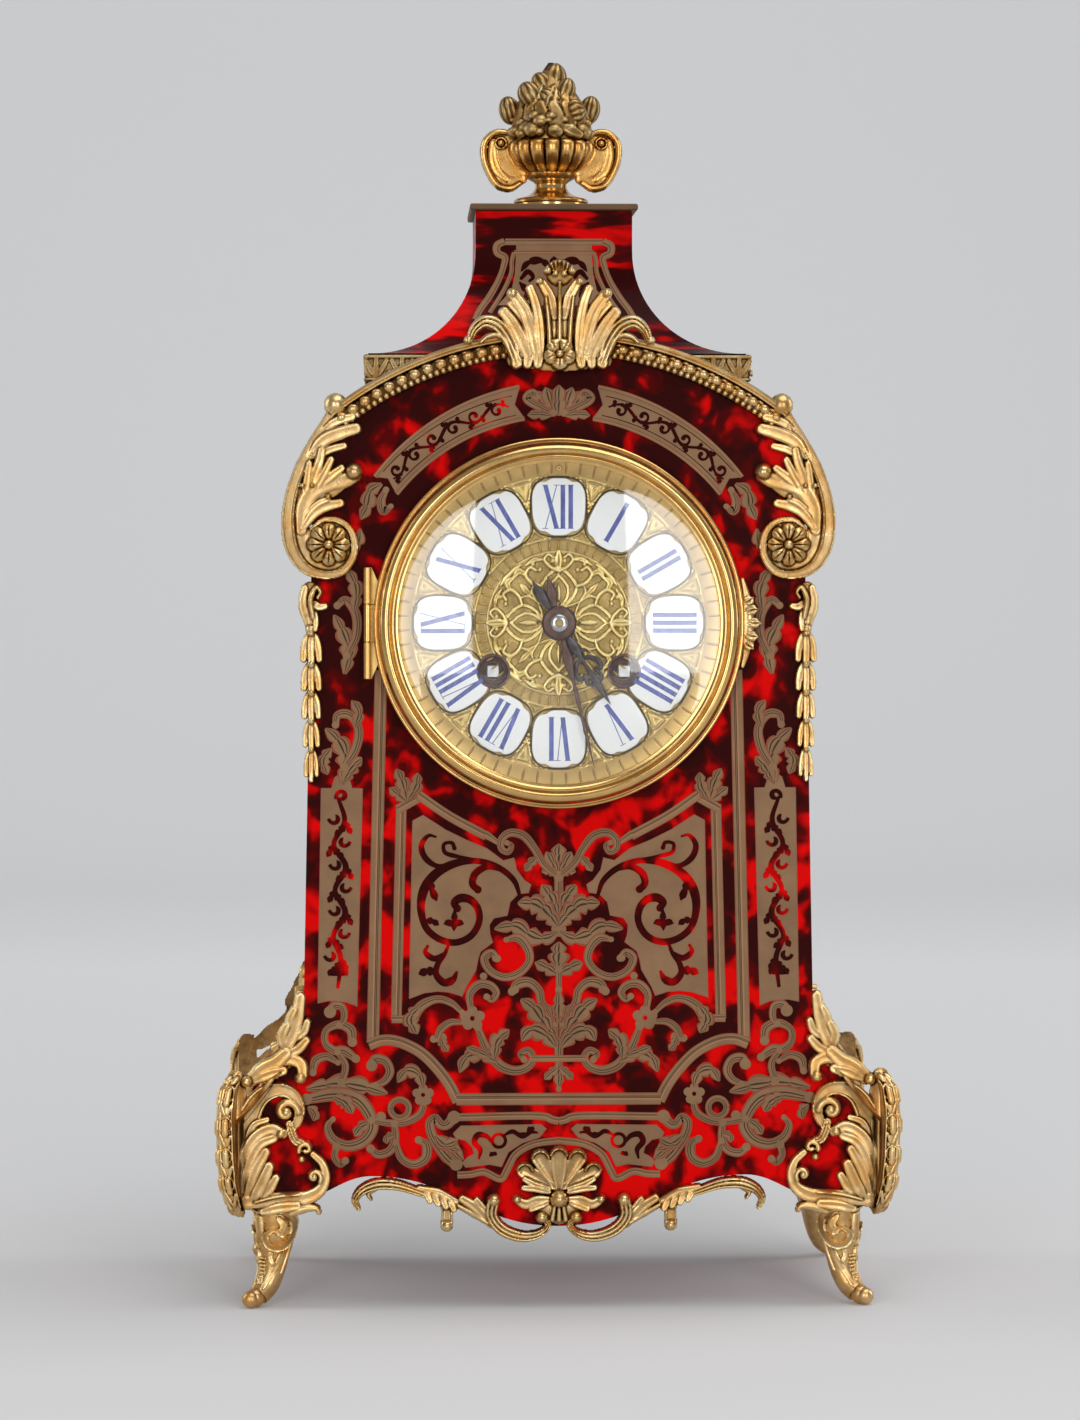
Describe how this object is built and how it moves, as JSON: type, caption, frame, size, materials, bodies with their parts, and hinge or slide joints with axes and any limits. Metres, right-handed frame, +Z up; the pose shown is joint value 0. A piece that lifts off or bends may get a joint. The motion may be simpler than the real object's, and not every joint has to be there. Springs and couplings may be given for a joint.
{
  "type": "boulle table clock",
  "caption": "Waisted marquetry table clock with gilt scroll mounts, urn finial, hinged glazed bezel, enamel numeral dial, moving hands and a striking pendulum movement.",
  "frame": {"origin": "middle of the footprint on the plane the four feet stand on", "axes": "+Z up, the dial faces -Y, +X to the viewer's right of the dial"},
  "size_m": [0.2426, 0.1339, 0.4452],
  "materials": {
    "tortoiseshell_case": "red tortoiseshell and brass veneer, polished",
    "gilt_mounts": "cast and gilt, bright on the high points",
    "gilt_dial": "gilt, turned and embossed",
    "bezel_glass": "clear convex glass",
    "enamel_plaques": "white enamel with blue numerals",
    "blued_steel": "dark blued steel",
    "movement_brass": "polished brass",
    "bell_metal": "silvered bell metal"
  },
  "bodies": {
    "case": {"front_panel": "tortoiseshell_case", "back_panel": "tortoiseshell_case", "carcass": "tortoiseshell_case", "roof_shell": "tortoiseshell_case", "roof_cap": "tortoiseshell_case", "cornice": "gilt_mounts", "arch_moulding": "gilt_mounts", "volute_left": "gilt_mounts", "volute_right": "gilt_mounts", "crest_mount": "gilt_mounts", "pendant_left": "gilt_mounts", "pendant_right": "gilt_mounts", "apron_mount": "gilt_mounts", "foot_front_left": "gilt_mounts", "foot_front_right": "gilt_mounts", "foot_rear_left": "gilt_mounts", "foot_rear_right": "gilt_mounts", "finial_foot": "gilt_mounts", "finial_urn": "gilt_mounts", "finial_fruit": "gilt_mounts", "dial_ring": "gilt_dial", "dial_plate": "gilt_dial", "numeral_01": "enamel_plaques", "numeral_02": "enamel_plaques", "numeral_03": "enamel_plaques", "numeral_04": "enamel_plaques", "numeral_05": "enamel_plaques", "numeral_06": "enamel_plaques", "numeral_07": "enamel_plaques", "numeral_08": "enamel_plaques", "numeral_09": "enamel_plaques", "numeral_10": "enamel_plaques", "numeral_11": "enamel_plaques", "numeral_12": "enamel_plaques", "front_plate": "movement_brass", "back_plate": "movement_brass", "suspension_cock": "movement_brass", "bell": "bell_metal", "back_ring": "movement_brass"},
    "bezel": {"bezel_ring": "gilt_dial", "bezel_glass": "bezel_glass"},
    "back_door": {"back_door": "movement_brass"},
    "minute_hand": {"minute_hand": "blued_steel", "hand_collet": "blued_steel", "cannon_pinion": "blued_steel"},
    "minute_wheel": {"minute_wheel": "movement_brass"},
    "hour_hand": {"hour_hand": "blued_steel", "hour_wheel": "movement_brass"},
    "third_wheel": {"third_wheel": "movement_brass"},
    "centre_wheel": {"centre_arbor": "movement_brass"},
    "second_wheel": {"second_wheel": "movement_brass"},
    "going_barrel": {"going_barrel": "movement_brass"},
    "escape_wheel": {"escape_wheel": "movement_brass"},
    "going_arbor": {"going_arbor": "blued_steel"},
    "strike_barrel": {"strike_barrel": "movement_brass"},
    "strike_arbor": {"strike_arbor": "blued_steel"},
    "pendulum": {"pendulum": "movement_brass"},
    "pallets": {"pallet_anchor": "blued_steel"},
    "hammer": {"hammer": "blued_steel"},
    "regulator": {"regulator_arbor": "blued_steel"}
  },
  "joints": [
    {"name": "bezel_hinge", "type": "hinge", "parent": "case", "child": "bezel", "pos_m": [-0.0672, -0.05858, 0.2405], "axis": [0, 0, -1], "range_deg": [0, 110]},
    {"name": "back_door_hinge", "type": "hinge", "parent": "case", "child": "back_door", "pos_m": [0.0644, 0.05912, 0.2405], "axis": [0, 0, -1], "range_deg": [0, 115]},
    {"name": "minute_hand_turn", "type": "hinge", "parent": "case", "child": "minute_hand", "pos_m": [0, -0.02448, 0.2405], "axis": [0, 1, 0], "continuous": true},
    {"name": "minute_wheel_turn", "type": "hinge", "parent": "case", "child": "minute_wheel", "pos_m": [0, -0.02448, 0.2513], "axis": [0, 1, 0], "continuous": true},
    {"name": "hour_hand_turn", "type": "hinge", "parent": "case", "child": "hour_hand", "pos_m": [0, -0.02448, 0.2405], "axis": [0, 1, 0], "continuous": true},
    {"name": "third_wheel_turn", "type": "hinge", "parent": "case", "child": "third_wheel", "pos_m": [-0.00974, -0.02448, 0.25649], "axis": [0, 1, 0], "continuous": true},
    {"name": "centre_wheel_turn", "type": "hinge", "parent": "case", "child": "centre_wheel", "pos_m": [0, -0.02448, 0.2405], "axis": [0, 1, 0], "continuous": true},
    {"name": "second_wheel_turn", "type": "hinge", "parent": "case", "child": "second_wheel", "pos_m": [0.01923, -0.02448, 0.24522], "axis": [0, 1, 0], "continuous": true},
    {"name": "going_barrel_turn", "type": "hinge", "parent": "case", "child": "going_barrel", "pos_m": [0.023, -0.02448, 0.2235], "axis": [0, 1, 0], "continuous": true},
    {"name": "escape_wheel_turn", "type": "hinge", "parent": "case", "child": "escape_wheel", "pos_m": [0, -0.02448, 0.2715], "axis": [0, 1, 0], "continuous": true},
    {"name": "going_winding", "type": "hinge", "parent": "case", "child": "going_arbor", "pos_m": [0.023, -0.02448, 0.2235], "axis": [0, 1, 0], "range_deg": [0, 1980]},
    {"name": "strike_barrel_turn", "type": "hinge", "parent": "case", "child": "strike_barrel", "pos_m": [-0.023, -0.02448, 0.2235], "axis": [0, 1, 0], "continuous": true},
    {"name": "strike_winding", "type": "hinge", "parent": "case", "child": "strike_arbor", "pos_m": [-0.023, -0.02448, 0.2235], "axis": [0, 1, 0], "range_deg": [0, 1980]},
    {"name": "pendulum_swing", "type": "hinge", "parent": "case", "child": "pendulum", "pos_m": [0, -0.02448, 0.2825], "axis": [0, 1, 0], "range_deg": [-3.5, 3.5]},
    {"name": "pallet_rock", "type": "hinge", "parent": "case", "child": "pallets", "pos_m": [0, -0.02448, 0.2825], "axis": [0, 1, 0], "range_deg": [-3.5, 3.5]},
    {"name": "hammer_lift", "type": "hinge", "parent": "case", "child": "hammer", "pos_m": [-0.03, -0.02448, 0.2725], "axis": [0, 1, 0], "range_deg": [0, 10], "stiffness_Nm_per_rad": 0.02},
    {"name": "regulator_turn", "type": "hinge", "parent": "case", "child": "regulator", "pos_m": [0, -0.02448, 0.2937], "axis": [0, 1, 0], "range_deg": [-720, 720]}
  ],
  "couplings": [
    {"joint": "minute_wheel_turn", "follows": "minute_hand_turn", "ratio": -0.33333},
    {"joint": "hour_hand_turn", "follows": "minute_hand_turn", "ratio": 0.083333},
    {"joint": "centre_wheel_turn", "follows": "third_wheel_turn", "ratio": -0.083333},
    {"joint": "second_wheel_turn", "follows": "third_wheel_turn", "ratio": 0.0092593},
    {"joint": "going_barrel_turn", "follows": "third_wheel_turn", "ratio": -0.0011574},
    {"joint": "escape_wheel_turn", "follows": "third_wheel_turn", "ratio": -13},
    {"joint": "pallet_rock", "follows": "pendulum_swing", "ratio": 1}
  ]
}
